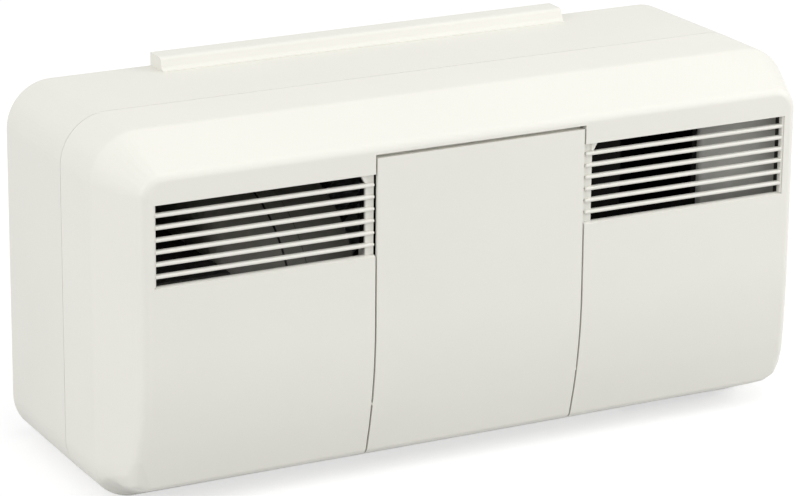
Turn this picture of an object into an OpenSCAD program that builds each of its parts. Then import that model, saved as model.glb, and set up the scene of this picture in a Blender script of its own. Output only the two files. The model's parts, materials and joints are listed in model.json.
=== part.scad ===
// Wall-mounted heat recovery ventilator. The origin lies on the wall plane, at the middle of the
// width and of the height. X runs to the right, the front faces -Y, and Z is up.
// Depths are measured from the wall plane towards the front.

/* [Housing] */
// Width of the housing
body_w = 620; // [600:5:680]
// Height of the housing, without the ledge
body_h = 300; // [290:2:330]
// Depth from the wall to the front face
body_d = 219; // [215:1:240]
// Depth of the rear casing, up to the seam
shell_d = 112; // [105:1:118]
// Depth of the front chamfer
chamfer_run = 50; // [46:1:54]
// Radius of the four long corners
corner_r = 39; // [30:1:45]
// Wall of the plastic shells
wall = 3; // [2.5:0.1:3.2]
// Inward run of the chamfer at the sides
side_inset = 21; // [16:1:26]
// Inward run of the chamfer at the top
top_inset = 23.7; // [18:0.1:28]
// Rise of the bottom chamfer over its full run; the curved front meets it before its end
bottom_inset = 30.5; // [20:0.1:34]
// Rounding of the edge between chamfer and front face
face_r = 9; // [6:0.5:12]
// Radius of the curve that draws the lower front back
front_curve_r = 400; // [350:10:600]
// Height of that curve over the bottom of the housing
curve_h = 132; // [110:1:145]
// Draft of the rear casing on each side
draft = 1.5; // [0:0.1:2]
// Width of the dark seam between casing and bezel
seam = 0.6; // [0.4:0.1:1]

/* [Hanging ledge] */
// Length of the ledge on the top edge
ledge_w = 368; // [300:2:420]
// Height of the ledge over the casing
ledge_h = 9.5; // [8:0.5:12]
// Depth of the ledge at its root
ledge_d = 26; // [24:1:32]

/* [Maintenance cover] */
// Width of the opening for the cover
door_w = 186.7; // [180:0.1:200]
// Distance from the top of the housing down to the opening
door_drop = 30; // [28:1:36]
// Reach of the cover behind the lower front crease
door_wrap = 2; // [1:0.5:3]
// Gap at the sides and bottom of the cover
door_gap = 1.6; // [0.8:0.1:2.2]
// Height of the finger recess over the cover
finger_gap = 3; // [2:0.5:4.5]

/* [Louvres] */
// Distance from the side of the housing to an opening
louvre_side = 30.3; // [28:0.1:40]
// Distance from the top of the housing down to an opening
louvre_drop = 45.5; // [43:0.5:50]
// Number of slats
slat_count = 6; // [4:1:6]
// Distance from slat to slat
slat_pitch = 9.63; // [9:0.01:10.5]
// Distance from the top of an opening down to the foot of its first slat
slat_drop = 10.2; // [9:0.1:11]
// Front height of a slat
slat_h = 3.1; // [2.6:0.1:3.4]
// Depth of a slat
slat_d = 4.2; // [3.5:0.1:5]
// Width of the recessed bar beside the cover
bar_w = 7; // [6:0.5:9]

/* [Heat exchanger core] */
// Side of the square plate block
core_side = 104; // [90:1:106]
// Side of the square end caps
cap_side = 122; // [116:1:122]
// Height of the core's axis, from mid height
core_z = -6; // [-10:1:-4]
// Depth of the rear end of the core
core_rear = 14; // [13:0.5:16]
// Space between the core and the front face
core_space = 24; // [23:1:30]
// Number of plates in the block
plate_count = 28; // [16:2:32]
// Thickness of one plate
plate_t = 1.6; // [1.2:0.1:2]
// Depth of the air slots that show between the plates
slot_d = 6; // [4:0.5:8]

/* [Blowers] */
// Distance from the side of the housing to the supply blower
drum_side = 96.5; // [95:0.5:102]
// Space between the cover opening and the supply blower
drum_space = 6.65; // [6:0.05:9]
// Width of the left half of the supply blower's housing
left_half_w = 56.5; // [50:0.5:60]
// Width of the band beside the joint
band_w = 16; // [12:1:18]
// Space between the supply blower and the front face
drum_front_space = 9; // [8.5:0.5:14]
// Space between the supply blower and the wall plane
drum_rear_space = 18; // [14:1:24]
// Space between the supply impeller and the volute's smallest turn
wheel_space = 18; // [14:1:24]
// Rounding of the left edge of the supply blower housing
drum_edge_r = 12; // [8:1:14]
// Space between the exhaust impeller's rim and the volute's largest turn
ex_wheel_space = 20; // [19:1:24]
// Width of the exhaust impeller
exhaust_wheel_w = 36; // [28:1:38]
// Wall of the blower housings
scroll_wall = 2.5; // [2:0.1:3]
// Number of blades on an impeller
blade_count = 28; // [18:1:32]
// Thickness of a blade
blade_t = 1.2; // [0.9:0.1:1.5]
// Radius of the motor shafts
shaft_r = 3; // [2.5:0.5:4]
// Radial clearance of a shaft in its motor
shaft_fit = 0.05; // [0.02:0.01:0.1]

/* [Shutter] */
// Distance from the louvres' outer end to the left edge of the parked plate
shutter_park = 65.1; // [63:0.1:71]
// Width of the shutter plate
shutter_w = 76; // [72:1:78]
// Thickness of the shutter plate
shutter_t = 4; // [3:0.5:5]
// Space between the shutter plate and the front face
shutter_space = 25; // [24:1:29]
// Travel of the shutter to its closed end
shutter_travel = 76; // [72:1:80]

/* [Ducts and mounting plate] */
// Outer radius of a duct spigot
spigot_r = 37.4; // [35:0.1:38]
// Wall of a duct spigot
spigot_wall = 2.4; // [2:0.1:3]
// Distance from the side of the housing to a spigot's axis
spigot_side = 54; // [53:1:58]
// Height of the spigots' axes over the bottom of the housing
spigot_height = 55; // [53:1:58]
// Length of a spigot behind the wall plane
spigot_len = 22; // [15:1:30]
// Width of the steel mounting plate
plate_w = 320; // [280:5:340]
// Thickness of the steel mounting plate
plate_sheet = 1.5; // [1.2:0.1:2]
// Horizontal spacing of the wall screws
screw_dx = 280; // [240:5:290]
// Vertical spacing of the wall screws
screw_dz = 120; // [100:5:140]
// Radius of the wall screw holes
screw_r = 2.75; // [2.5:0.05:3.2]

/* [Hidden] */

eps = 0.01;
// Clearance between two pieces that lie against each other
seat = 0.25;
hw = body_w / 2;
hh = body_h / 2;
// Depth of the outer and inner faces of the rear wall
rear_out = 5;
rear_in = 8;
crease_d = body_d - chamfer_run;
curve_start_z = -hh + curve_h;
half_door = door_w / 2;
door_top = hh - door_drop;
door_rear = crease_d - door_wrap;
louvre_end = hw - louvre_side;
louvre_top = hh - louvre_drop;
core_front = body_d - core_space;
shutter_left = louvre_end - shutter_park;
shutter_front = body_d - shutter_space;
spigot_x = hw - spigot_side;
spigot_z = -hh + spigot_height;
drum_left = -(hw - drum_side);
drum_right = -(half_door + drum_space);
drum_joint = drum_left + left_half_w;
band_end = drum_joint + band_w;
door_half = half_door - door_gap;
louvre_bottom = louvre_top - slat_drop - slat_count * slat_pitch + slat_h - 0.3;
core_corner = cap_side / sqrt(2);
white_plastic = [0.93, 0.92, 0.88];
dark_plastic = [0.2, 0.21, 0.22];
black_foam = [0.06, 0.06, 0.06];
steel = [0.7, 0.71, 0.72];

// Basic forms, all placed by width, depth from the wall and height

module block(x0, x1, u0, u1, z0, z1)
    translate([x0, -u1, z0]) cube([x1 - x0, u1 - u0, z1 - z0]);

// Extrudes an outline, drawn in width and height, from depth u0 to u1
module forward(u0, u1) translate([0, -u0, 0]) rotate([90, 0, 0]) linear_extrude(u1 - u0) children();

// Extrudes an outline, drawn in depth and height, from width x0 to x1
module across(x0, x1)
    translate([x0, 0, 0]) rotate([90, 0, 90]) linear_extrude(x1 - x0) mirror([1, 0]) children();

// A rod along the width, placed by depth and height
module axle(x0, x1, u, z, r)
    translate([x0, -u, z]) rotate([0, 90, 0]) cylinder(h = x1 - x0, r = r, $fn = 96);

// A rod along the depth
module rod(x, z, u0, u1, r)
    translate([x, -u0, z]) rotate([90, 0, 0]) cylinder(h = u1 - u0, r = r, $fn = 96);

module rounded_rect(w, h, r, n = 64) {
    square([w - 2 * r, h], center = true);
    square([w, h - 2 * r], center = true);
    for (sx = [-1, 1], sz = [-1, 1])
        translate([sx * (w / 2 - r), sz * (h / 2 - r)]) circle(r, $fn = n);
}

function arc(cx, cy, r, a0, a1, n) =
    [for (i = [0:n]) let (a = a0 + (a1 - a0) * i / n) [cx + r * cos(a), cy + r * sin(a)]];

// Housing form

side_len = norm([side_inset, chamfer_run]);
top_len = norm([top_inset, chamfer_run]);
bottom_len = norm([bottom_inset, chamfer_run]);

// Distance from mid width to a ball that touches the side chamfer, at a ball depth u
function ball_x(u) = hw - (face_r + side_inset / side_len * (u - crease_d)) * side_len / chamfer_run;
// The same from mid height to the top chamfer
function ball_z(u) = hh - (face_r + top_inset / top_len * (u - crease_d)) * top_len / chamfer_run;
// Depth and height of a ball on the curved front, a degrees below the start of the curve
function curve_u(a) = body_d - front_curve_r + (front_curve_r - face_r) * cos(a);
function curve_z(a) = curve_start_z - (front_curve_r - face_r) * sin(a);

// Angle at which the curved front meets the bottom chamfer
bottom_a = let (
    p = chamfer_run / bottom_len * (front_curve_r - face_r),
    q = bottom_inset / bottom_len * (front_curve_r - face_r),
    c = chamfer_run / bottom_len * (hh + curve_start_z) - face_r
        - bottom_inset / bottom_len * (body_d - front_curve_r - crease_d)
) asin(c / norm([p, q])) - atan2(q, p);

face_corner = 12;
// Rounding of the two lower corners of the face
low_corner = 20;
ball_u = body_d - face_r;

// Ball centres round the front face, for the right half
face_balls = concat(
    [for (p = arc(ball_x(ball_u) - face_corner, ball_z(ball_u) - face_corner, face_corner, 0, 90, 6))
        [p[0], ball_u, p[1]]],
    [for (i = [0:7]) let (a = bottom_a * i / 9) [ball_x(curve_u(a)), curve_u(a), curve_z(a)]],
    [for (i = [0:4]) let (
        a = bottom_a,
        x = ball_x(curve_u(a)) - low_corner * (1 - cos(22.5 * i)),
        z = curve_z(a) + low_corner * (1 - sin(22.5 * i))
    ) [x, curve_u(a), z]]
);

crease_soft = 3;

// One thin section of the band or chamfer, with its inset, reduced by t
module band_slab(u0, u1, inset, t) {
    side = inset;
    top = inset * top_inset / side_inset;
    r = max(corner_r - t - inset, 4);
    forward(u0, u1) rounded_rect(body_w - 2 * side - 2 * t, body_h - 2 * top - 2 * t, r, 72);
}

// The bezel's form, t inside its outer surface and from depth u0
module bezel_form(t, u0) hull() {
    band_slab(u0, crease_d - crease_soft, 0, t);
    band_slab(crease_d - 0.1, crease_d, 0.3, t);
    band_slab(crease_d + crease_soft - 0.1, crease_d + crease_soft,
              side_inset * crease_soft / chamfer_run, t);
    for (p = face_balls, s = [-1, 1])
        translate([s * p[0], -p[1], p[2]]) sphere(face_r - t, $fn = 32);
}

// The casing's form with its draft, t inside its outer surface
module casing_form(t, u0, u1) hull() {
    forward(u0, u0 + eps)
        rounded_rect(body_w - 2 * draft - 2 * t, body_h - 2 * draft - 2 * t, corner_r - t - draft, 64);
    forward(u1 - eps, u1) rounded_rect(body_w - 2 * t, body_h - 2 * t, corner_r - t, 64);
}

ledge_edge_r = 4;
ledge_front = ledge_d - 5.5;

module ledge_outline() polygon(concat(
    [[0, hh - 2 * wall], [0, hh + ledge_h]],
    arc(ledge_front - ledge_edge_r, hh + ledge_h - ledge_edge_r, ledge_edge_r, 90, 10, 6),
    arc(ledge_d, hh + 4, 4.5, 190, 270, 6),
    [[ledge_d, hh - 2 * wall]]
));

// Screws that hold the bezel, from below
boss_x = [-hw + 70, hw - 70];
boss_u = shell_d - 6;
head_r = 3.9;
head_h = 1.2;

// Lip at the rear of the ledge, which drops behind the hook of the mounting plate
lip_u0 = 2.5;
lip_u1 = 6;
hook_u = 9;
channel_low = hh + 0.2;
channel_top = hh + ledge_h - wall;

module rear_casing() color(white_plastic) difference() {
    union() {
        casing_form(0, 0, shell_d);
        across(-ledge_w / 2, ledge_w / 2) ledge_outline();
    }
    casing_form(wall, rear_in, shell_d + 1);
    // Recess of the rear wall, which holds the mounting plate
    forward(-1, rear_out)
        rounded_rect(body_w - 2 * draft - 2 * wall, body_h - 2 * draft - 2 * wall, corner_r - wall - draft);
    // Way of the hook into the ledge, past the lip
    block(-ledge_w / 2 + wall, ledge_w / 2 - wall, -1, lip_u0, hh - 3 * wall, channel_top);
    block(-ledge_w / 2 + wall, ledge_w / 2 - wall, lip_u0 - eps, 15, channel_low, channel_low + 3);
    block(-ledge_w / 2 + wall, ledge_w / 2 - wall, lip_u1, 15, channel_low, channel_top);
    for (s = [-1, 1]) rod(s * spigot_x, spigot_z, 0, 20, collar_r + seat);
    rod(grommet_x, grommet_z, 0, 20, grommet_r + seat);
    for (x = boss_x) translate([x, -boss_u, -hh - 1]) {
        cylinder(h = 12, r = 2.2, $fn = 32);
        cylinder(h = 1 + head_h + 0.3, r = head_r + 0.3, $fn = 32);
    }
}

tongue_t = 1.8;
lip_half = half_door - 13;
knob_x = shutter_left + shutter_w / 2;
knob_w = 16;
knob_d = 8;
leg_w = 12;
leg_t = 2;
// Depth at which the shutter's leg comes down to its knob
leg_u = crease_d - 10;

// Ring that follows the inside of the casing, from depth u0 to u1
module tongue_ring(u0, u1, outer) {
    inner_w = body_w - 2 * wall - 2 * seat - 2 * tongue_t;
    inner_h = body_h - 2 * wall - 2 * seat - 2 * tongue_t;
    forward(u0, u1) difference() {
        rounded_rect(body_w - 2 * outer, body_h - 2 * outer, corner_r - outer);
        rounded_rect(inner_w, inner_h, corner_r - wall - seat - tongue_t);
    }
}

module front_bezel() color(white_plastic) {
    difference() {
        bezel_form(0, shell_d + seam);
        bezel_form(wall, shell_d - 10);
        block(-half_door, half_door, door_rear, body_d + 1, -hh - 1, door_top);
        for (s = [-1, 1]) mirror([s < 0 ? 1 : 0, 0, 0])
            block(half_door - 1, louvre_end, crease_d, body_d + 1, louvre_bottom, louvre_top);
        // Slot for the shutter's knob in the underside
        block(knob_x - shutter_travel - knob_w / 2 - 1, knob_x + knob_w / 2 + 1,
              leg_u - knob_d / 2 - 0.8, leg_u + knob_d / 2 + 0.8, -hh - 1, -hh + wall + 1);
    }
    // Tongue that enters the rear casing
    difference() {
        tongue_ring(shell_d - 7, shell_d + 3.5, wall + seat);
        for (x = boss_x) translate([x, -boss_u, -hh]) cylinder(h = 12, r = 1.7, $fn = 32);
    }
    tongue_ring(shell_d + seam, shell_d + 3.5, wall / 2);
    // Strip behind the finger recess, and the header that carries it
    block(-half_door - eps, half_door - 2.4, body_d - 9, body_d - 6.5,
          door_top - finger_gap - 4, door_top + 1);
    block(-half_door - 2, half_door + 2, body_d - 9, body_d - wall + eps, door_top, door_top + 2.5);
    // Collars at the sides of the cover opening
    intersection() {
        bezel_form(2, shell_d);
        for (s = [-1, 1]) mirror([s < 0 ? 1 : 0, 0, 0]) {
            block(half_door, half_door + 2, core_front - 1, body_d, louvre_top + 0.3, door_top + 2.5);
            block(half_door, half_door + 2, core_front - 1, body_d, -hh, louvre_bottom - 0.3);
        }
    }
    // Lip behind the lower edge of the cover
    for (s = [-1, 1]) mirror([s < 0 ? 1 : 0, 0, 0]) {
        block(5, lip_half, door_rear - 5, door_rear - 0.4, -hh + wall - 1, -hh + wall + 4.2);
        block(5, lip_half, door_rear - 1, door_rear + 4, -hh + wall + 2.2, -hh + wall + 4.2);
    }
}

frame_front = body_d - wall - seat;

// Louvre insert on the right side; the left one is its mirror image
module louvre() {
    inner = half_door + 0.3;
    outer = louvre_end - seat;
    top = louvre_top - seat;
    low = louvre_bottom + seat;
    difference() {
        block(inner, outer + 4.5, frame_front - 2.5, frame_front, low - 7, top + 7);
        block(inner + bar_w, outer - 1.4, frame_front - 3, frame_front + 1, low - 0.1, top + 0.1);
        block(inner - 1, half_door + 2.4, frame_front - 3, frame_front + 1, top + 0.1, top + 9);
        block(inner - 1, half_door + 2.4, frame_front - 3, frame_front + 1, low - 9, low - 0.1);
    }
    // Gusset in the upper inner corner
    forward(frame_front - 2.5, frame_front + 1) polygon([
        [inner + bar_w - 1, top + 0.2], [inner + bar_w + 4.5, top + 0.2], [inner + bar_w + 0.6, top - 6.5],
        [inner + bar_w - 1, top - 6.5]
    ]);
    // Wall that lines the outer end of the opening
    block(outer - 1.4, outer, frame_front - eps, body_d - 1, low, top);
    for (i = [0:slat_count - 1]) let (z = louvre_top - slat_drop - i * slat_pitch) {
        block(inner + slat_h / 2, outer - 1.4 + eps, body_d - 0.6 - slat_d, body_d - 0.6 - slat_h / 2,
              z, z + slat_h);
        axle(inner + slat_h / 2, outer - 1.4 + eps, body_d - 0.6 - slat_h / 2, z + slat_h / 2, slat_h / 2);
        rod(inner + slat_h / 2, z + slat_h / 2, body_d - 0.6 - slat_d, body_d - 0.6 - slat_h / 2,
            slat_h / 2);
        translate([inner + slat_h / 2, -(body_d - 0.6 - slat_h / 2), z + slat_h / 2])
            sphere(slat_h / 2, $fn = 32);
    }
}

module intake_grille() color(white_plastic) mirror([1, 0, 0]) louvre();
module outlet_grille() color(white_plastic) louvre();

tick_z = -hh + 65;
rib_x = 45;
pad_w = 120;
pad_h = 80;

module maintenance_cover() color(white_plastic) {
    intersection() {
        difference() {
            bezel_form(0, shell_d);
            bezel_form(wall, shell_d - 10);
        }
        block(-door_half, door_half, door_rear + door_gap, body_d + 1, -hh - 1, door_top - finger_gap);
    }
    // Return lip along the top edge
    block(-door_half, door_half, body_d - 6, body_d - wall + eps,
          door_top - finger_gap - 2, door_top - finger_gap);
    // Ticks that snap into the bezel at each side
    for (s = [-1, 1])
        block(s * door_half - 1, s * door_half + 1, body_d - 11, body_d - 6.4, tick_z - 1.2, tick_z + 1.2);
    // Ribs that stiffen the inside and press the pad
    for (s = [-1, 1])
        block(s * rib_x - 1, s * rib_x + 1, body_d - 8, body_d - wall + eps,
              core_z - pad_h / 2 - 4, core_z + pad_h / 2 + 4);
}

module cover_pad() color(black_foam)
    block(-pad_w / 2, pad_w / 2, body_d - 12, body_d - 8 - seat, core_z - pad_h / 2, core_z + pad_h / 2);

// Mounting plate, a steel sheet that hangs the housing on the wall

plate_top = channel_low + 2.5;
// Height of the middle of the wall screws
screw_z = hh - 110;

module mounting_plate() color(steel) difference() {
    union() {
        block(-plate_w / 2, plate_w / 2, 0, plate_sheet, screw_z - screw_dz / 2 - 40, plate_top);
        block(-plate_w / 2 + 10, plate_w / 2 - 10, plate_sheet - eps, hook_u,
              plate_top - plate_sheet, plate_top);
        block(-plate_w / 2 + 10, plate_w / 2 - 10, hook_u - plate_sheet, hook_u,
              plate_top - plate_sheet, channel_top - seat);
    }
    for (sx = [-1, 1], sz = [-1, 1]) rod(sx * screw_dx / 2, screw_z + sz * screw_dz / 2, -1, 5, screw_r);
    // Two windows that lighten the plate
    for (s = [-1, 1])
        block(s * plate_w * 0.19 - 30, s * plate_w * 0.19 + 30, -1, 5, screw_z + 20, plate_top - 40);
}

// Duct spigots and their wall seals

// Radius of the collar that stops the wall duct
collar_r = spigot_r + 1;

module spigot(s) difference() {
    union() {
        rod(s * spigot_x, spigot_z, -spigot_len, rear_in + 3, spigot_r);
        rod(s * spigot_x, spigot_z, 0, rear_in + 3, collar_r);
        rod(s * spigot_x, spigot_z, rear_in + seat, rear_in + 3, spigot_r + 6);
    }
    rod(s * spigot_x, spigot_z, -spigot_len - 1, rear_in + 4, spigot_r - spigot_wall);
}

module outdoor_spigot() color(dark_plastic) spigot(-1);
module exhaust_spigot() color(dark_plastic) spigot(1);

module spigot_seals() color(black_foam) for (s = [-1, 1]) difference() {
    rod(s * spigot_x, spigot_z, 0, rear_out - seat, spigot_r + 9);
    rod(s * spigot_x, spigot_z, -1, rear_out + 1, collar_r + seat);
}

// Heat exchanger core, a square block of plates that stands on one edge and slides out to the front

// Places an outline, drawn along the core's own sides, from depth u0 to u1
module on_core(u0, u1) translate([0, 0, core_z]) forward(u0, u1) rotate(45) children();

cap_t = 7;
block_rear = core_rear + cap_t;
block_front = core_front - cap_t;
plate_pitch = (block_front - block_rear) / plate_count;

module core_block() color([0.86, 0.84, 0.78]) difference() {
    on_core(block_rear, block_front) square(core_side, center = true);
    for (i = [0:plate_count - 1], s = [-1, 1])
        on_core(block_rear + i * plate_pitch + plate_t / 2,
                block_rear + (i + 1) * plate_pitch - plate_t / 2)
            rotate(i % 2 == 0 ? 0 : 90)
                translate([s * (core_side / 2 - slot_d / 2 + eps), 0])
                    square([slot_d + 2 * eps, core_side - 14], center = true);
}

module core_cap(u0, u1) difference() {
    on_core(u0, u1) rotate(0) rounded_rect(cap_side, cap_side, 3);
    on_core(u1 - 1.5, u1 + 1) difference() {
        square(cap_side - 16, center = true);
        square(cap_side - 24, center = true);
    }
}

module core_front_cap() color(dark_plastic) {
    core_cap(block_front, core_front);
    for (s = [-1, 1])
        block(s * 34 - 6, s * 34 + 6, core_front - eps, core_front + 3, core_z - 11, core_z + 11);
}
module core_rear_cap() color(dark_plastic) core_cap(core_rear, block_rear);

// Strips along the four long edges of the core, which seal in the cradle
module core_edge_strips() color(dark_plastic) for (k = [0:3])
    on_core(block_rear + seat, block_front - seat) rotate(90 * k) difference() {
        translate([core_side / 2 - 7, core_side / 2 - 7])
            square(cap_side / 2 - core_side / 2 + 7 - 0.8);
        translate([core_side / 2 - 8, core_side / 2 - 8]) square(8 + 0.1);
        translate([core_side / 2 - 8, core_side / 2 + 2]) square([7.5, 20]);
        translate([core_side / 2 + 2, core_side / 2 - 8]) square([20, 7.5]);
    }

strap_t = 1.6;
strap_rise = 6;

// Pull strap on the front cap, a flat band with a bow in the middle
module core_strap() color(black_foam) translate([0, 0, core_z]) linear_extrude(16, center = true)
    mirror([0, 1]) polygon(concat(
        [[-40, core_front + 3.2], [-28, core_front + 3.2]],
        [for (i = [-4:4]) [i * 6, core_front + 3.2 + strap_rise * cos(i * 22.5)]],
        [[28, core_front + 3.2], [40, core_front + 3.2]],
        [[40, core_front + 3.2 + strap_t], [28, core_front + 3.2 + strap_t]],
        [for (i = [4:-1:-4]) [i * 6, core_front + 3.2 + strap_t + strap_rise * cos(i * 22.5)]],
        [[-28, core_front + 3.2 + strap_t], [-40, core_front + 3.2 + strap_t]]
    ));

// Filters on the two faces of the core where air comes in: k is 1 for upper left, 2 for lower left

filter_t = 6.5;
filter_half = core_side / 2 - 8.5;

filter_bar = 5;
// Length of one of the three windows of a filter frame, and the depth at which window i starts
window_run = (block_front - block_rear - 2 - 4 * filter_bar) / 3;
function window_u(i) = block_rear + 1 + filter_bar + i * (window_run + filter_bar);

module filter_frame(k) difference() {
    on_core(block_rear + 1, block_front - 1) rotate(90 * k)
        translate([core_side / 2 + seat, -filter_half]) square([filter_t, 2 * filter_half]);
    for (i = [0:2]) on_core(window_u(i), window_u(i) + window_run) rotate(90 * k)
        translate([core_side / 2 + seat - 1, -filter_half + filter_bar])
            square([filter_t + 2, 2 * (filter_half - filter_bar)]);
}

module filter_mat(k) for (i = [0:2])
    on_core(window_u(i) + 0.2, window_u(i) + window_run - 0.2) rotate(90 * k)
        translate([core_side / 2 + seat + 1, -filter_half + filter_bar + 0.2])
            square([filter_t - 2.5, 2 * (filter_half - filter_bar - 0.2)]);

module room_filter_frame() color(dark_plastic) filter_frame(1);
module room_filter_mat() color([0.95, 0.95, 0.93]) filter_mat(1);
module outdoor_filter_frame() color(dark_plastic) filter_frame(2);
module outdoor_filter_mat() color([0.8, 0.86, 0.9]) filter_mat(2);

// Cradle of the core: a front and a rear plate joined by four webs that end in V rails

cradle_front = core_front + 1;
cradle_side = cap_side + 0.6;
rail_corner = cradle_side / sqrt(2);
plate_half = half_door - 0.3;

// Upper web outline in depth and height; it follows the chamfer of the bezel
module top_web() polygon([
    [rear_in + seat, core_z + rail_corner - 2], [rear_in + seat, hh - 5.4], [crease_d - 4, hh - 5.4],
    [body_d - 14, hh - 24], [body_d - 10, door_top - 3], [core_front - 2, door_top - 3],
    [core_front - 2, core_z + rail_corner - 2]
]);

// Lower edge of the front plate, which clears the bottom chamfer
cradle_low = -hh + (wall * bottom_len + bottom_inset * (cradle_front - crease_d)) / chamfer_run + 1.4;

// Side wing of the front plate, which reaches to the cover
module wing() polygon([
    [cradle_front - 1, -hh + 32], [cradle_front + 3, -hh + 32], [body_d - 13, -hh + 60],
    [body_d - 7, -hh + 95], [body_d - 7, door_top - 8], [cradle_front - 1, door_top - 8]
]);

module core_cradle() color(dark_plastic) difference() {
    union() {
        block(-plate_half, plate_half, core_front - 4, cradle_front, cradle_low, door_top - 1);
        block(-plate_half, plate_half, rear_in + seat, rear_in + 3, -hh + 8, hh - 8);
        // Top, bottom, left and right webs
        across(-1.5, 1.5) top_web();
        across(-1.5, 1.5) polygon([
            [rear_in + seat, core_z - rail_corner + 2], [rear_in + seat, -hh + 5.4],
            [crease_d - 4, -hh + 5.4], [core_front - 2, cradle_low],
            [core_front - 2, core_z - rail_corner + 2]
        ]);
        block(drum_right + seat, -rail_corner + 2, rear_in + seat, core_front - 3,
              core_z - 1.5, core_z + 1.5);
        block(rail_corner - 2, plate_half - 0.5, rear_in + seat, core_front - 3,
              core_z - 1.5, core_z + 1.5);
        for (s = [-1, 1]) across(s * (plate_half - 1.2) - 0.8, s * (plate_half - 1.2) + 0.8) wing();
        // V rails along the four edges
        on_core(rear_in + seat, cradle_front) for (k = [0:3]) rotate(90 * k)
            translate([cradle_side / 2 - 10, cradle_side / 2 - 10]) square(12);
    }
    on_core(core_rear - 1, cradle_front + 1) square(cradle_side, center = true);
    // Hole for the lead of the supply motor
    axle(-3, 3, lead_u, lead_z, lead_r + 0.4);
}

// Blower housings. A volute is four quarter turns of growing radius, about an axis along X.

volute_step = 8;
drum_r = (body_d - drum_front_space - drum_rear_space + volute_step) / 2;
drum_u = body_d - drum_front_space - drum_r;
drum_z = -hh + 130;
wheel_u = drum_u - volute_step / 2;
wheel_z = drum_z + volute_step / 2;
drum_inner_r = drum_r - 3 * volute_step;
supply_wheel_r = drum_inner_r - wheel_space;
supply_inlet_r = supply_wheel_r - 14;
leg_low = drum_z - drum_r + 2;

// Centre and radius of each quarter, from the front top onwards
quarters = [
    [drum_u, drum_z, drum_r],
    [drum_u, drum_z + volute_step, drum_r - volute_step],
    [drum_u - volute_step, drum_z + volute_step, drum_r - 2 * volute_step],
    [drum_u - volute_step, drum_z, drum_inner_r]
];

// A quarter of a disc with centre (u, z), radius r, between a and a + 90 degrees
module quarter(u, z, r, a) translate([u, z]) intersection() {
    circle(r, $fn = 128);
    rotate(a) square(r + 1);
}

// Outline of the leg that leads the air down behind the curved front
module leg_outline(t) polygon([
    [drum_u + drum_r - t, drum_z], [drum_u + drum_r - 2 - t, drum_z - 40],
    [drum_u + drum_r - 14 - t, leg_low + t],
    [drum_u + 12 + t, leg_low + t], [drum_u + 12 + t, drum_z]
]);

// Outline of the volute in depth and height, t inside its outer surface
module volute(t) {
    for (k = [0:3]) quarter(quarters[k][0], quarters[k][1], quarters[k][2] - t, 90 * k);
    translate([drum_u - volute_step, drum_z]) square(volute_step);
    if (t < 2) leg_outline(t);
    else difference() {
        leg_outline(t);
        translate([drum_u - volute_step, drum_z]) circle(drum_inner_r, $fn = 128);
    }
}

// A quarter turn about an axis along X through (u, z), from a to a + 90 degrees
module sector(x, u, z, a)
    translate([x, -u, z]) rotate([0, 90, 0]) rotate(180 - a) rotate_extrude(angle = 90, $fn = 128)
        children();

// Solid volute from x0 to x1 with a rounded left edge
module round_volute(x0, x1, t, edge) {
    for (k = [0:3]) let (r = quarters[k][2] - t)
        sector(x0, quarters[k][0], quarters[k][1], 90 * k) {
            square([r - edge, x1 - x0]);
            translate([0, edge]) square([r, x1 - x0 - edge]);
            translate([r - edge, edge]) circle(edge, $fn = 64);
        }
    block(x0, x1, drum_u - volute_step, drum_u, drum_z, drum_z + volute_step);
}

groove_w = 1.6;
foot_z0 = drum_z - 6;
foot_z1 = drum_z + volute_step + 6;

module supply_scroll_inlet_half() color(dark_plastic) difference() {
    union() {
        round_volute(drum_left, drum_joint - groove_w, 0, drum_edge_r);
        across(drum_left + 2, drum_joint - groove_w) leg_outline(0);
        across(drum_joint - groove_w - 1, drum_joint) volute(1.2);
        block(drum_left + 16, drum_joint - 10, rear_in + seat, drum_u - drum_r + 9, foot_z0, foot_z1);
    }
    round_volute(drum_left + scroll_wall, drum_joint + 1, scroll_wall, drum_edge_r - scroll_wall);
    across(drum_left + 2 + scroll_wall, drum_joint + 1) difference() {
        leg_outline(scroll_wall);
        translate([drum_u - volute_step, drum_z]) circle(drum_inner_r, $fn = 128);
    }
    axle(drum_left - 1, drum_left + 10, wheel_u, wheel_z, supply_inlet_r + 3.2);
}

mouth_low = leg_low + 6;
motor_r = 27;
motor_screw_r = motor_r + 3;

module supply_scroll_motor_half() color(dark_plastic) difference() {
    union() {
        across(drum_joint, band_end) volute(0);
        across(band_end, drum_right) volute(1.2);
        block(band_end + 6, drum_right - 12, rear_in + seat, drum_u - drum_r + 9.4, foot_z0, foot_z1);
    }
    across(drum_joint - 1, drum_right - scroll_wall) volute(3.2);
    // Mouth at the foot of the leg, which blows into the chamber under the core
    block(drum_right - 4, drum_right + 1, drum_u + 24, drum_u + drum_r - 18, mouth_low, mouth_low + 22);
    for (k = [0:2]) rotate_on_axle(120 * k, wheel_u, wheel_z)
        axle(drum_right - 4, drum_right + 1, wheel_u, wheel_z + motor_screw_r, 1.6);
}

module rotate_on_axle(a, u, z) translate([0, -u, z]) rotate([a, 0, 0]) translate([0, u, -z]) children();

// Bell mouth of a blower, a ring turned about the axle
module inlet_ring(x, u, z, r) translate([x, -u, z]) rotate([0, 90, 0]) rotate_extrude($fn = 96)
    polygon(concat(
        [[r + 10, -1.6], [r + 10, -0.2], [r + 3, -0.2], [r + 3, 0]],
        arc(r + 3, 5.2, 3.0, 200, 180, 2),
        [[r, 8], [r - 1.2, 8]],
        arc(r + 3, 2.6, 4.2, 180, 270, 6)
    ));

module supply_inlet_ring() color(dark_plastic) inlet_ring(drum_left, wheel_u, wheel_z, supply_inlet_r);

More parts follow.
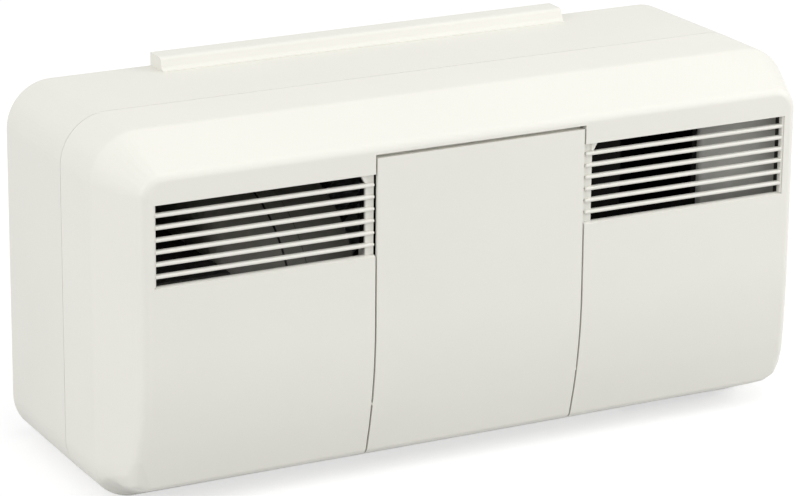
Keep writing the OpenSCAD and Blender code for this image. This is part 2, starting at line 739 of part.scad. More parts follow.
// Forward-curved impeller: hub and back plate, blades, and a shroud ring at the inlet
module impeller(x0, w, u, z, r) {
    bore = shaft_r;
    translate([x0, -u, z]) rotate([0, 90, 0]) {
        // Shroud ring
        difference() {
            cylinder(h = 2, r = r, $fn = 96);
            translate([0, 0, -1]) cylinder(h = 4, r = r - 9, $fn = 96);
        }
        // Back plate and hub
        difference() {
            union() {
                translate([0, 0, w - 2]) cylinder(h = 2, r = r, $fn = 96);
                translate([0, 0, w - 16]) cylinder(h = 16, r = 9, $fn = 48);
            }
            translate([0, 0, w - 17]) cylinder(h = 20, r = bore, $fn = 48);
        }
        for (i = [0:blade_count - 1]) rotate(360 / blade_count * i)
            translate([0, 0, 1.9]) linear_extrude(w - 3.8) blade(r);
    }
}

blade_chord = 8;

// One curved blade near the rim, as a slice of a ring
module blade(r) translate([r - blade_chord - 0.5, 0]) intersection() {
    difference() {
        translate([0, 9]) circle(9 + blade_t / 2, $fn = 64);
        translate([0, 9]) circle(9 - blade_t / 2, $fn = 64);
    }
    square([blade_chord, 9]);
}

supply_wheel_x = drum_left + 9.5;
supply_motor_x = drum_right - scroll_wall - 26;
supply_wheel_w = supply_motor_x - 13.5 - supply_wheel_x;

module supply_impeller() color([0.75, 0.76, 0.77])
    impeller(supply_wheel_x, supply_wheel_w, wheel_u, wheel_z, supply_wheel_r);
module supply_shaft() color(steel)
    axle(supply_wheel_x + supply_wheel_w - 16, supply_motor_x + 20, wheel_u, wheel_z, shaft_r - eps);

// Motor can with a shaft bore and a fixing flange at its right end
module motor(x0, x1, u, z, r, bore) difference() {
    union() {
        axle(x0, x1, u, z, r);
        axle(x0 - 2, x0 + 1, u, z, r * 0.4);
        axle(x1 - 2, x1, u, z, r + 6);
    }
    axle(x0 - 3, x0 + bore, u, z, shaft_r + shaft_fit);
    for (k = [0:2]) rotate_on_axle(120 * k, u, z) axle(x1 - 3, x1 + 1, u, z + r + 3, 1.6);
}

module supply_motor() color(steel)
    motor(supply_motor_x, drum_right - scroll_wall - seat, wheel_u, wheel_z, motor_r, 21);

// Exhaust blower: the same form turned so that it blows to the rear, into its spigot

exhaust_left = spigot_x - 34;
exhaust_joint = spigot_x;
exhaust_right = spigot_x + 33;
exhaust_step = 4;
exhaust_u = 92;
// Largest radius, so that the volute fits between the duct's foot and the partition
exhaust_r = (core_z - 12 - spigot_z + spigot_r + 1.6) / 2;
exhaust_z = spigot_z - spigot_r + exhaust_r + 2.4;
exhaust_wheel_r = exhaust_r - ex_wheel_space;
exhaust_inlet_r = exhaust_wheel_r - 8;
exhaust_leg = exhaust_u - rear_in - 3 - seat;
exhaust_top = 2 * spigot_r + 4 - exhaust_r;
ex_wheel_u = exhaust_u + 2;
ex_wheel_z = exhaust_z + 2;

// Volute outline in depth and height: largest quarter at the bottom front, leg to the rear at the bottom
module exhaust_volute(t) translate([exhaust_u, exhaust_z]) rotate(-90) {
    quarter(0, 0, exhaust_r - t, 0);
    quarter(0, exhaust_step, exhaust_r - exhaust_step - t, 90);
    quarter(-exhaust_step, exhaust_step, exhaust_r - 2 * exhaust_step - t, 180);
    quarter(-exhaust_step, 0, exhaust_r - 3 * exhaust_step - t, 270);
    translate([-exhaust_step, 0]) square(exhaust_step);
}

// Outline of the leg; with rear 0 it is closed, otherwise it runs out of the rear by that much
module exhaust_leg_outline(t, rear) translate([exhaust_u, exhaust_z]) rotate(-90)
    translate([-exhaust_top + t, -exhaust_leg - rear])
        square([exhaust_r + exhaust_top - 2 * t, exhaust_leg + rear]);

module exhaust_solid(x0, x1) across(x0, x1) {
    exhaust_volute(0);
    exhaust_leg_outline(0, 0);
}

module exhaust_hollow(x0, x1) across(x0, x1) {
    exhaust_volute(scroll_wall);
    difference() {
        exhaust_leg_outline(scroll_wall, 5);
        translate([exhaust_u, exhaust_z]) rotate(-90) translate([-exhaust_step, 0])
            circle(exhaust_r - 3 * exhaust_step, $fn = 128);
    }
}

module exhaust_scroll_inlet_half() color(dark_plastic) difference() {
    exhaust_solid(exhaust_left, exhaust_joint);
    exhaust_hollow(exhaust_left + scroll_wall, exhaust_joint + 1);
    axle(exhaust_left - 1, exhaust_left + 10, ex_wheel_u, ex_wheel_z, exhaust_inlet_r + 3.2);
}

ex_motor_r = 20;
ex_screw_r = ex_motor_r + 3;

module exhaust_scroll_motor_half() color(dark_plastic) difference() {
    exhaust_solid(exhaust_joint, exhaust_right);
    exhaust_hollow(exhaust_joint - 1, exhaust_right - scroll_wall);
    for (k = [0:2]) rotate_on_axle(120 * k, ex_wheel_u, ex_wheel_z)
        axle(exhaust_right - 4, exhaust_right + 1, ex_wheel_u, ex_wheel_z + ex_screw_r, 1.6);
}

module exhaust_inlet_ring() color(dark_plastic)
    inlet_ring(exhaust_left, ex_wheel_u, ex_wheel_z, exhaust_inlet_r);

ex_wheel_x = exhaust_left + 9.5;
ex_motor_x = exhaust_right - scroll_wall - 14;

module exhaust_impeller() color([0.75, 0.76, 0.77])
    impeller(ex_wheel_x, exhaust_wheel_w, ex_wheel_u, ex_wheel_z, exhaust_wheel_r);
module exhaust_shaft() color(steel)
    axle(ex_wheel_x + exhaust_wheel_w - 16, ex_motor_x + 10, ex_wheel_u, ex_wheel_z, shaft_r - eps);
module exhaust_motor() color(steel)
    motor(ex_motor_x, exhaust_right - scroll_wall - seat, ex_wheel_u, ex_wheel_z, ex_motor_r, 11);

// Partitions and liners

inner_half = hw - wall - draft - 1;
lid_z = wheel_z + supply_inlet_r + 10.1;

// Outline of a level partition in plan, which follows the side of the housing up to depth u1
module side_plan(x0, u1) mirror([0, 1]) polygon([
    [x0, rear_in + seat], [inner_half, rear_in + seat], [inner_half, crease_d - 4],
    [hw - wall - 1.5 - side_inset / chamfer_run * (u1 - crease_d), u1], [x0, u1]
]);

strip_u = drum_u - sqrt(pow(drum_r - volute_step, 2) - pow(lid_z - drum_z - volute_step, 2)) - 0.5;

module intake_well_lid() color(black_foam) {
    mirror([1, 0, 0]) translate([0, 0, lid_z]) linear_extrude(3)
        side_plan(-drum_left + seat, frame_front - 2.5 - seat);
    block(drum_left - 1, drum_right - 1, rear_in + seat, strip_u, lid_z, lid_z + 3);
}

module right_partition() color(black_foam) translate([0, 0, core_z - 1.5]) linear_extrude(3)
    side_plan(half_door + seat, frame_u0 - seat);

liner_t = 5;

// Foam that lines an upper chamber on its outer, top and rear walls, from height z0
module liner(x0, z0, u1) intersection() {
    difference() {
        forward(rear_in + seat, u1)
            rounded_rect(2 * inner_half - 0.6, body_h - 2 * wall - 2 * draft - 2,
                         corner_r - wall - draft - 1);
        forward(rear_in + seat + liner_t, u1 + 1)
            rounded_rect(2 * inner_half - 0.6 - 2 * liner_t,
                         body_h - 2 * wall - 2 * draft - 2 - 2 * liner_t,
                         corner_r - wall - draft - liner_t);
    }
    block(x0, hw, 0, u1 + 1, z0, hh);
}

module intake_liner() color(black_foam)
    mirror([1, 0, 0]) liner(half_door + 1, lid_z + 3 + seat, shell_d - 9);
module outlet_liner() color(black_foam) liner(half_door + 1, core_z + 1.5 + seat, shell_d - 9);

module scroll_seal() color(black_foam)
    block(drum_left, drum_right, drum_u + drum_r + seat, body_d - wall - seat, drum_z - 4, drum_z + 10);

// Shutter frame behind the right louvres, with an aperture and rails for the plate

frame_u1 = shutter_front - shutter_t - seat;
frame_u0 = frame_u1 - 3;
frame_left = half_door + 1;
frame_inset = side_inset / chamfer_run * (frame_u1 - crease_d);
plate_low = louvre_bottom - 9;
plate_high = louvre_top + 3;
shelf_z = core_z - 9;

module shutter_frame() color(black_foam) {
    difference() {
        forward(frame_u0, frame_u1) intersection() {
            rounded_rect(body_w - 2 * wall - 3 - 2 * frame_inset,
                         body_h - 2 * wall - 3 - 2 * frame_inset * top_inset / side_inset, corner_r - 10);
            translate([frame_left, shelf_z]) square([hw, hh - shelf_z]);
        }
        block(shutter_left - shutter_travel + 4, shutter_left - 4, frame_u0 - 1, frame_u1 + 1,
              louvre_bottom - 2, louvre_top - 4);
    }
    // Rail over the plate, with a lip that holds it
    block(frame_left + 4, shutter_left + shutter_w + 4, frame_u1 - eps, shutter_front + 0.3,
          plate_high + 0.3, plate_high + 3);
    block(frame_left + 4, shutter_left + shutter_w + 4, shutter_front + 0.3, shutter_front + 1.5,
          plate_high - 2, plate_high + 3);
    // Rails under the plate, clear of its leg
    block(frame_left + 4, knob_x - shutter_travel - leg_w / 2 - 2, frame_u1 - eps, shutter_front + 0.3,
          plate_low - 3, plate_low - 0.3);
    block(knob_x + leg_w / 2 + 2, shutter_left + shutter_w + 4, frame_u1 - eps, shutter_front + 0.3,
          plate_low - 3, plate_low - 0.3);
    // Shelf that closes the space before the frame, with a slot for the leg
    difference() {
        block(frame_left + 3, louvre_end + 3, frame_u1 - eps, body_d - wall - 0.5, shelf_z, shelf_z + 2);
        block(knob_x - shutter_travel - leg_w / 2 - 1, knob_x + leg_w / 2 + 1,
              shutter_front - leg_t - 1, shutter_front + 1, shelf_z - 1, shelf_z + 3);
    }
}

// Height of the step at which the leg turns back to its knob
leg_step_z = -hh + 20;

module shutter_plate() color([0.5, 0.5, 0.5]) {
    edge = shutter_t - 0.5;
    // The left edge is rounded towards the front
    translate([0, 0, plate_low]) linear_extrude(plate_high - plate_low) mirror([0, 1]) {
        translate([shutter_left + edge, shutter_front - shutter_t]) square([shutter_w - edge, shutter_t]);
        translate([shutter_left, shutter_front - shutter_t]) square([edge + 1, shutter_t - edge]);
        intersection() {
            translate([shutter_left + edge, shutter_front - edge]) circle(edge, $fn = 64);
            translate([shutter_left, shutter_front - shutter_t]) square([edge + 1, shutter_t]);
        }
    }
    block(knob_x - leg_w / 2, knob_x + leg_w / 2, shutter_front - leg_t, shutter_front,
          leg_step_z, plate_low + 1);
    block(knob_x - leg_w / 2, knob_x + leg_w / 2, leg_u - leg_t / 2, shutter_front,
          leg_step_z, leg_step_z + leg_t);
    block(knob_x - leg_w / 2, knob_x + leg_w / 2, leg_u - leg_t / 2, leg_u + leg_t / 2,
          -hh + wall + 0.6, leg_step_z + leg_t);
}

// Flush finger tab in the underside, with three grip ribs
module shutter_knob() color(dark_plastic) {
    block(knob_x - knob_w / 2, knob_x + knob_w / 2, leg_u - knob_d / 2, leg_u + knob_d / 2,
          -hh + 1.2, -hh + wall + 0.6);
    for (x = [knob_x - 5, knob_x, knob_x + 5])
        block(x - 0.8, x + 0.8, leg_u - knob_d / 2, leg_u + knob_d / 2, -hh + 0.3, -hh + 1.3);
}

// Electrical parts: a flat box on the floor of the casing, open to the front and closed by its cover

box_x0 = half_door + 10.65;
box_x1 = exhaust_left - 10;
box_u0 = rear_in + seat;
box_u1 = shell_d - 9;
box_z0 = -hh + wall + draft + 0.15;
box_z1 = box_z0 + 41;
sheet = 1.2;

module electrical_box() color(steel) difference() {
    block(box_x0, box_x1, box_u0, box_u1, box_z0, box_z1);
    block(box_x0 + sheet, box_x1 - sheet, box_u0 + sheet, box_u1 + 1, box_z0 + sheet, box_z1 - sheet);
    rod(grommet_x, grommet_z, box_u0 - 1, box_u0 + 6, grommet_r + 3);
    axle(box_x0 - 1, box_x0 + 3, lead_u, lead_z, lead_r + 0.2);
    axle(box_x1 - 3, box_x1 + 1, lead_u + 30, lead_z, lead_r + 0.2);
}

module electrical_cover() color(steel) {
    block(box_x0, box_x1, box_u1 + seat, box_u1 + seat + sheet, box_z0 + 0.5, box_z1);
    for (z = [box_z0 + sheet + 0.2, box_z1 - 2 * sheet - 0.2])
        block(box_x0 + 4, box_x1 - 4, box_u1 - 8, box_u1 + seat + eps, z, z + sheet);
}

board_z = box_z0 + 12;
board_x0 = box_x0 + 5;
board_x1 = box_x1 - 44;
board_run = board_x1 - board_x0;

// A rod along the height
module post(x, u, z0, z1, r) translate([x, -u, z0]) cylinder(h = z1 - z0, r = r, $fn = 48);

module control_board() color([0.1, 0.35, 0.2]) {
    block(board_x0, board_x1, box_u0 + 6, box_u1 - 12, board_z, board_z + 1.6);
    for (x = [board_x0 + 4, board_x1 - 4], u = [box_u0 + 10, box_u1 - 16])
        post(x, u, box_z0 + sheet + seat, board_z + eps, 2.5);
    block(board_x0 + board_run * 0.08, board_x0 + board_run * 0.5, box_u0 + 14, box_u0 + 36,
          board_z + 1.6 - eps, board_z + 20);
    block(board_x0 + board_run * 0.12, board_x0 + board_run * 0.3, box_u0 + 44, box_u0 + 72,
          board_z + 1.6 - eps, board_z + 10);
    post(board_x0 + board_run * 0.74, box_u0 + 24, board_z + 1.6 - eps, board_z + 22, board_run * 0.12);
}

module terminal_block() color([0.9, 0.9, 0.88]) difference() {
    block(box_x1 - 30, box_x1 - 12, box_u0 + 24, box_u0 + 74, box_z0 + sheet + seat, box_z0 + 20);
    for (i = [0:3]) post(box_x1 - 21, box_u0 + 31 + i * 12, box_z0 + 10, box_z0 + 21, 3.4);
}

grommet_x = box_x1 - 22;
grommet_z = box_z0 + 22;
grommet_r = 8;

// Grommet of the mains cord in the rear wall; it reaches into the box
module cable_grommet() color([0.1, 0.1, 0.1]) difference() {
    union() {
        rod(grommet_x, grommet_z, rear_out - 2.5, rear_in + 3, grommet_r);
        rod(grommet_x, grommet_z, rear_out - 2.5, rear_out - seat, grommet_r + 2.5);
        rod(grommet_x, grommet_z, rear_in + seat, rear_in + 3, grommet_r + 2.5);
    }
    rod(grommet_x, grommet_z, 0, 20, 4);
}

lead_r = 2.2;
lead_u = 34;
lead_z = box_z0 + 7;
lead_x = drum_right + lead_r + 0.8;

// A round lead from point p to point q, with a ball at q
module run(p, q) {
    d = q - p;
    translate(p) rotate([0, acos(d[2] / norm(d)), atan2(d[1], d[0])])
        cylinder(h = norm(d), r = lead_r, $fn = 32);
}

module lead(points) {
    for (i = [1:len(points) - 1]) run(points[i - 1], points[i]);
    for (i = [1:len(points) - 2]) translate(points[i]) sphere(lead_r, $fn = 32);
}

// Leads from the box to the two motors
module motor_leads() color([0.1, 0.1, 0.1]) {
    lead([[box_x0 + 2, -lead_u, lead_z], [lead_x, -lead_u, lead_z], [lead_x, -lead_u, lead_z + 80],
          [drum_right + seat, -lead_u - 0.01, lead_z + 80]]);
    lead([[box_x1 - 2, -lead_u - 30, lead_z], [exhaust_right - 14, -lead_u - 30, lead_z],
          [exhaust_right - 14, -lead_u - 30, exhaust_z - exhaust_r - seat]]);
}

// Screws from below, through the casing into the tongue of the bezel
module bezel_screws() color(steel) for (x = boss_x) translate([x, -boss_u, -hh + 0.3]) {
    cylinder(h = head_h, r = head_r, $fn = 32);
    cylinder(h = 8, r = 1.65, $fn = 32);
}

module motor_screws(x, u, z, r) for (k = [0:2]) rotate_on_axle(120 * k, u, z) {
    axle(x - 6, x + 0.2, u, z + r, 1.5);
    axle(x, x + 1.8, u, z + r, 3);
}

module blower_screws() color(steel) {
    motor_screws(drum_right, wheel_u, wheel_z, motor_screw_r);
    motor_screws(exhaust_right, ex_wheel_u, ex_wheel_z, ex_screw_r);
}

rear_casing();
front_bezel();
intake_grille();
outlet_grille();
maintenance_cover();
cover_pad();
mounting_plate();
outdoor_spigot();
exhaust_spigot();
spigot_seals();
core_cradle();
core_block();
core_front_cap();
core_rear_cap();
core_edge_strips();
core_strap();
room_filter_frame();
room_filter_mat();
outdoor_filter_frame();
outdoor_filter_mat();
supply_scroll_inlet_half();
supply_scroll_motor_half();
supply_inlet_ring();
supply_impeller();
supply_shaft();
supply_motor();
exhaust_scroll_inlet_half();
exhaust_scroll_motor_half();
exhaust_inlet_ring();
exhaust_impeller();
exhaust_shaft();
exhaust_motor();
intake_well_lid();
right_partition();
intake_liner();
outlet_liner();
scroll_seal();
shutter_frame();
shutter_plate();
shutter_knob();
electrical_box();
electrical_cover();
control_board();
terminal_block();
cable_grommet();
motor_leads();
bezel_screws();
blower_screws();
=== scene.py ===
"""Looks of the wall-mounted heat recovery ventilator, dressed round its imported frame."""

import json
import math

import bmesh
import bpy
import numpy as np
from mathutils import Matrix, Vector, noise


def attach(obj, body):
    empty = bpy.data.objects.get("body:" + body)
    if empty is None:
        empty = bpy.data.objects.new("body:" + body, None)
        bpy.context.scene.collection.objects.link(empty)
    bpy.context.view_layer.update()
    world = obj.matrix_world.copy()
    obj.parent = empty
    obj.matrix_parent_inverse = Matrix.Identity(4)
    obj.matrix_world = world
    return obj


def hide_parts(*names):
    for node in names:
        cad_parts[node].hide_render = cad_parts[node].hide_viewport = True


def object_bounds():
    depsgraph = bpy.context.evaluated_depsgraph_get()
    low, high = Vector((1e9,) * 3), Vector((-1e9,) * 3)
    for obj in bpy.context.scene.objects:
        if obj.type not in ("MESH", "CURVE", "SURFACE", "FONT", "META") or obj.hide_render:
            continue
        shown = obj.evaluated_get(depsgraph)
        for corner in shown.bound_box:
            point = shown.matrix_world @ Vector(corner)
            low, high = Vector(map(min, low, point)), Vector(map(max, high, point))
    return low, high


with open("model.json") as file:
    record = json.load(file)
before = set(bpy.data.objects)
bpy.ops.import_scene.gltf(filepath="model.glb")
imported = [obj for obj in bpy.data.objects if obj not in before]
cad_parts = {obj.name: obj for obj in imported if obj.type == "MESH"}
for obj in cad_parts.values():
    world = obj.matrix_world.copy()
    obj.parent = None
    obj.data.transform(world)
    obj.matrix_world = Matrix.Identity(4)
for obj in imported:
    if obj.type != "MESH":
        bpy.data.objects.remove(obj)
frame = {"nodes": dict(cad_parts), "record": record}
bpy.context.scene.view_settings.view_transform = "Standard"
CAD_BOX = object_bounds()
NODES = frame["nodes"]
SLOT_OF = {part["node"]: part["material_slot"] for part in frame["record"]["subparts"]}
BODY_OF = {node: body for body, nodes in frame["record"]["behaviour"]["bodies"].items() for node in nodes}

# Camera, at the photograph's viewing angle

SENSOR_MM = 36.0
FOCAL_PX = 3761.0
IMAGE_W = 800
AZIMUTH, ELEVATION, ROLL = 27.829, 17.909, 0.509
TARGET = Vector((-0.009221, -0.1, -0.001244))
DISTANCE = 3.0525
CLIP_END = 50.0


def add_camera():
    """The camera stands back from its target along the line of sight."""
    azimuth, elevation = math.radians(AZIMUTH), math.radians(ELEVATION)
    level = math.cos(elevation)
    back = Vector((-math.sin(azimuth) * level, -math.cos(azimuth) * level, math.sin(elevation)))
    data = bpy.data.cameras.new("camera")
    data.sensor_width = SENSOR_MM
    data.lens = SENSOR_MM * FOCAL_PX / IMAGE_W
    data.clip_end = CLIP_END
    cam = bpy.data.objects.new("camera", data)
    bpy.context.scene.collection.objects.link(cam)
    cam.location = TARGET + back * DISTANCE
    turn = back.to_track_quat("Z", "Y").to_matrix().to_4x4()
    roll = Matrix.Rotation(math.radians(ROLL), 4, "Z")
    cam.matrix_world = Matrix.Translation(cam.location) @ turn @ roll
    bpy.context.scene.camera = cam


add_camera()

# Materials

# Places of a Mix node's two colour inputs and of its colour output
MIX_A, MIX_B, MIX_RESULT = 6, 7, 2
# A drawn line is solid to its half width and has faded out at this many half widths
LINE_FADE = 1.3


class Maker:
    """A material with its node tree and small helpers for procedural detail."""

    def __init__(self, name):
        self.mat = bpy.data.materials.new(name)
        self.mat.use_nodes = True
        self.nodes = self.mat.node_tree.nodes
        self.links = self.mat.node_tree.links
        self.shader = self.nodes["Principled BSDF"]
        coords = self.nodes.new("ShaderNodeTexCoord")
        self.coords = coords.outputs["Object"]

    def noise(self, scale, detail=4.0, rough=0.5, stretch=None):
        """Noise over the object's own coordinates; stretch scales it by axis."""
        node = self.nodes.new("ShaderNodeTexNoise")
        node.inputs["Scale"].default_value = scale
        node.inputs["Detail"].default_value = detail
        node.inputs["Roughness"].default_value = rough
        self.links.new(self.mapped(stretch), node.inputs["Vector"])
        return node.outputs["Fac"]

    def mapped(self, stretch):
        """The object's own coordinates, scaled by axis where a stretch is given."""
        if stretch is None:
            return self.coords
        node = self.nodes.new("ShaderNodeMapping")
        node.inputs["Scale"].default_value = stretch
        self.links.new(self.coords, node.inputs["Vector"])
        return node.outputs["Vector"]

    def voronoi(self, scale):
        """Distance to the middle of the nearest cell."""
        node = self.nodes.new("ShaderNodeTexVoronoi")
        node.inputs["Scale"].default_value = scale
        self.links.new(self.coords, node.inputs["Vector"])
        return node.outputs["Distance"]

    def wave(self, scale, direction, distortion=0.0):
        """Even bands that follow each other along one axis."""
        node = self.nodes.new("ShaderNodeTexWave")
        node.bands_direction = direction
        node.inputs["Scale"].default_value = scale
        node.inputs["Distortion"].default_value = distortion
        self.links.new(self.coords, node.inputs["Vector"])
        return node.outputs["Fac"]

    def along_x(self):
        """The place along X, in metres."""
        node = self.nodes.new("ShaderNodeSeparateXYZ")
        self.links.new(self.coords, node.inputs["Vector"])
        return node.outputs["X"]

    def ramp(self, fac, low, high, at=(0.35, 0.65)):
        """Colour between low and high, driven by fac."""
        node = self.nodes.new("ShaderNodeValToRGB")
        node.color_ramp.elements[0].position, node.color_ramp.elements[1].position = at
        node.color_ramp.elements[0].color = (*low, 1)
        node.color_ramp.elements[1].color = (*high, 1)
        self.links.new(fac, node.inputs["Fac"])
        return node.outputs["Color"]

    def span(self, fac, low, high):
        """A number between low and high, driven by fac."""
        node = self.nodes.new("ShaderNodeMapRange")
        node.inputs["To Min"].default_value = low
        node.inputs["To Max"].default_value = high
        self.links.new(fac, node.inputs["Value"])
        return node.outputs["Result"]

    def part_of(self, value, start, end):
        """How far value lies between start and end, from 0 to 1."""
        node = self.nodes.new("ShaderNodeMapRange")
        node.inputs["From Min"].default_value = start
        node.inputs["From Max"].default_value = end
        self.links.new(value, node.inputs["Value"])
        return node.outputs["Result"]

    def calculate(self, operation, *values):
        """The result of one Math node, whose values are numbers or other nodes' outputs."""
        node = self.nodes.new("ShaderNodeMath")
        node.operation = operation
        for socket, value in zip(node.inputs, values):
            if isinstance(value, float):
                socket.default_value = value
            else:
                self.links.new(value, socket)
        return node.outputs["Value"]

    def line(self, body, color, place, half):
        """The body colour with a line across X drawn over it, at this place and of this half width."""
        away = self.calculate("ABSOLUTE", self.calculate("SUBTRACT", self.along_x(), place))
        mix = self.nodes.new("ShaderNodeMix")
        mix.data_type = "RGBA"
        self.links.new(self.part_of(away, half, half * LINE_FADE), mix.inputs["Factor"])
        mix.inputs[MIX_A].default_value = (*color, 1)
        self.links.new(body, mix.inputs[MIX_B])
        return mix.outputs[MIX_RESULT]

    def bump(self, height, distance, strength, after=None):
        """Relief from height, up to this distance in metres, laid over the relief after."""
        node = self.nodes.new("ShaderNodeBump")
        node.inputs["Distance"].default_value = distance
        node.inputs["Strength"].default_value = strength
        self.links.new(height, node.inputs["Height"])
        if after:
            self.links.new(after, node.inputs["Normal"])
        return node.outputs["Normal"]

    def sheen(self, low, high):
        """Roughness of a moulded surface, from low to high in soft patches."""
        return self.span(self.noise(scale=22), low, high)

    def grain(self, scale, depth):
        """The fine spark grain of a moulded surface."""
        return self.bump(self.noise(scale, detail=2, rough=0.6), distance=depth, strength=0.6)

    def done(self, color, rough, normal=None, **numbers):
        """Links what was made to the shader and sets the shader's own numbers by name."""
        self.links.new(color, self.shader.inputs["Base Color"])
        self.links.new(rough, self.shader.inputs["Roughness"])
        if normal:
            self.links.new(normal, self.shader.inputs["Normal"])
        for key, value in numbers.items():
            self.shader.inputs[key.replace("_", " ")].default_value = value
        return self.mat


def shade(color, by):
    """The colour made darker or lighter, with no channel over 1."""
    return tuple(min(1.0, channel * by) for channel in color)


def grey(level):
    """The neutral colour of this level."""
    return (level, level, level)


def plastic(name, color, rough, vary, grain=3200, depth=0.00004, **numbers):
    """Moulded plastic: fine spark grain, faint cloudiness and flow marks."""
    make = Maker(name)
    cloud = make.noise(scale=7, detail=5, rough=0.6)
    body = make.ramp(cloud, shade(color, 1 - vary), shade(color, 1 + vary * 0.4))
    fine = make.grain(grain, depth)
    flow = make.bump(make.noise(scale=14, detail=3), distance=0.0002, strength=0.12, after=fine)
    return make.done(body, make.sheen(rough - 0.05, rough + 0.06), flow, **numbers)


def plate_painted_light(name, left, right, ends, rim):
    """Plastic that turns from its left colour to a lighter right colour between two ends on X, painted light
    against the shade at the right end, with a dark rim line of painted shadow.
    """
    make = Maker(name)
    # The lighter right end is painted light, and the rim line below is a painted shadow
    body = make.ramp(make.part_of(make.along_x(), *ends), left, right, at=(0.0, 1.0))
    body = make.line(body, shade(left, 0.1), *rim)
    return make.done(body, make.sheen(0.45, 0.56), make.grain(scale=2400, depth=0.00005))


def drum_plastic(name, color, lines):
    """Plastic with dark lines; each has its place along X, its half width and its share of the colour."""
    make = Maker(name)
    cloud = make.noise(scale=7, detail=5, rough=0.6)
    body = make.ramp(cloud, shade(color, 0.9), shade(color, 1.04))
    for place, half, tone in lines:
        body = make.line(body, shade(color, tone), place, half)
    return make.done(body, make.sheen(0.29, 0.4), make.grain(scale=2200, depth=0.00004))


def foam(name, color):
    """Closed-cell foam: open skin of small cells."""
    make = Maker(name)
    cells = make.voronoi(scale=420)
    body = make.ramp(cells, shade(color, 0.5), shade(color, 1.6), at=(0.0, 0.8))
    rough = make.span(make.noise(scale=60), 0.85, 0.98)
    pits = make.bump(cells, distance=0.0006, strength=0.8)
    relief = make.bump(make.noise(scale=30), distance=0.0015, strength=0.4, after=pits)
    return make.done(body, rough, relief, Specular_IOR_Level=0.25)


def metal(name, color, rough, stretch=(1, 60, 60)):
    """Rolled sheet or drawn steel with fine lines along its least stretched axis."""
    make = Maker(name)
    lines = make.noise(scale=60, detail=6, rough=0.7, stretch=stretch)
    body = make.ramp(make.noise(scale=45, detail=2), shade(color, 0.86), shade(color, 1.06))
    sheen = make.span(lines, rough - 0.1, rough + 0.14)
    return make.done(body, sheen, make.bump(lines, distance=0.00005, strength=0.5), Metallic=1.0)


def paper(name, color):
    """Stacked exchanger paper seen on its edges."""
    make = Maker(name)
    fibres = make.noise(scale=900, rough=0.7)
    stack = make.wave(scale=160, direction="Y", distortion=0.6)
    body = make.ramp(stack, shade(color, 0.72), shade(color, 1.05), at=(0.2, 0.8))
    edges = make.bump(stack, distance=0.0004, strength=0.7)
    relief = make.bump(fibres, distance=0.0001, strength=0.5, after=edges)
    return make.done(body, make.span(fibres, 0.75, 0.95), relief)


def fleece(name, color):
    """Filter fleece: a soft mat of fine fibres."""
    make = Maker(name)
    fluff = make.noise(scale=1400, detail=6, rough=0.75)
    body = make.ramp(fluff, shade(color, 0.8), shade(color, 1.08), at=(0.3, 0.7))
    rough = make.span(make.noise(scale=300), 0.9, 1.0)
    return make.done(body, rough, make.bump(fluff, distance=0.0005, strength=0.9), Sheen_Weight=0.2)


def webbing(name, color):
    """Woven band: two crossed sets of ribs."""
    make = Maker(name)
    warp, weft = make.wave(scale=700, direction="X"), make.wave(scale=900, direction="Z")
    weave = make.calculate("MULTIPLY", warp, weft)
    body = make.ramp(weave, shade(color, 0.5), shade(color, 2.2), at=(0.1, 0.9))
    rough = make.span(make.noise(scale=400), 0.75, 0.9)
    return make.done(body, rough, make.bump(weave, distance=0.0003, strength=0.8))


WHITE = (0.800, 0.790, 0.730)
DRUM = (0.196, 0.190, 0.168)
BLACK = (0.006, 0.0054, 0.0048)

MATS = {
    "white_plastic": plastic("white_plastic", WHITE, 0.44, vary=0.012, Specular_IOR_Level=0.42),
    "dark_plastic": plastic("dark_plastic", DRUM, 0.34, vary=0.1, grain=2200),
    "black_plastic": plastic("black_plastic", BLACK, 0.6, vary=0.2, grain=2200, depth=0.00006,
                             Specular_IOR_Level=0.12),
    "grey_plastic": plastic("grey_plastic", (0.46, 0.455, 0.43), 0.5, vary=0.05, grain=2400, depth=0.00005),
    "black_foam": foam("black_foam", (0.015, 0.0145, 0.0135)),
    "black_rubber": plastic("black_rubber", grey(0.014), 0.62, vary=0.2, grain=1500, depth=0.00008),
    "zinc_steel": metal("zinc_steel", (0.56, 0.57, 0.58), 0.38),
    "bright_steel": metal("bright_steel", (0.62, 0.62, 0.63), 0.25, stretch=(60, 60, 4)),
    "core_paper": paper("core_paper", (0.62, 0.6, 0.52)),
    "filter_fabric": fleece("filter_fabric", (0.72, 0.74, 0.74)),
    "strap_fabric": webbing("strap_fabric", (0.02, 0.02, 0.022)),
    "board_plastic": plastic("board_plastic", (0.012, 0.09, 0.04), 0.35, vary=0.25, grain=900, depth=0.00005),
}

# The dark lines of the blower drum: the dark joint where its halves join, and painted shade along the step at
# an edge of its band
DRUM_JOINT_AND_SHADE_LINES = ((-0.1578, 0.0008, 0.04), (-0.1406, 0.0005, 0.25))
# The shutter plate's colours, its right end lighter as painted light, and the stretch over which they change,
# then the place and half width of its rim line, a painted shadow
PLATE_LEFT, PLATE_PAINTED_LIGHT_RIGHT, PLATE_PAINTED_LIGHT_ENDS = (0.42, 0.415, 0.39), (0.68, 0.672, 0.636), (0.225, 0.288)
PLATE_PAINTED_SHADOW_RIM = (0.2895, 0.0018)

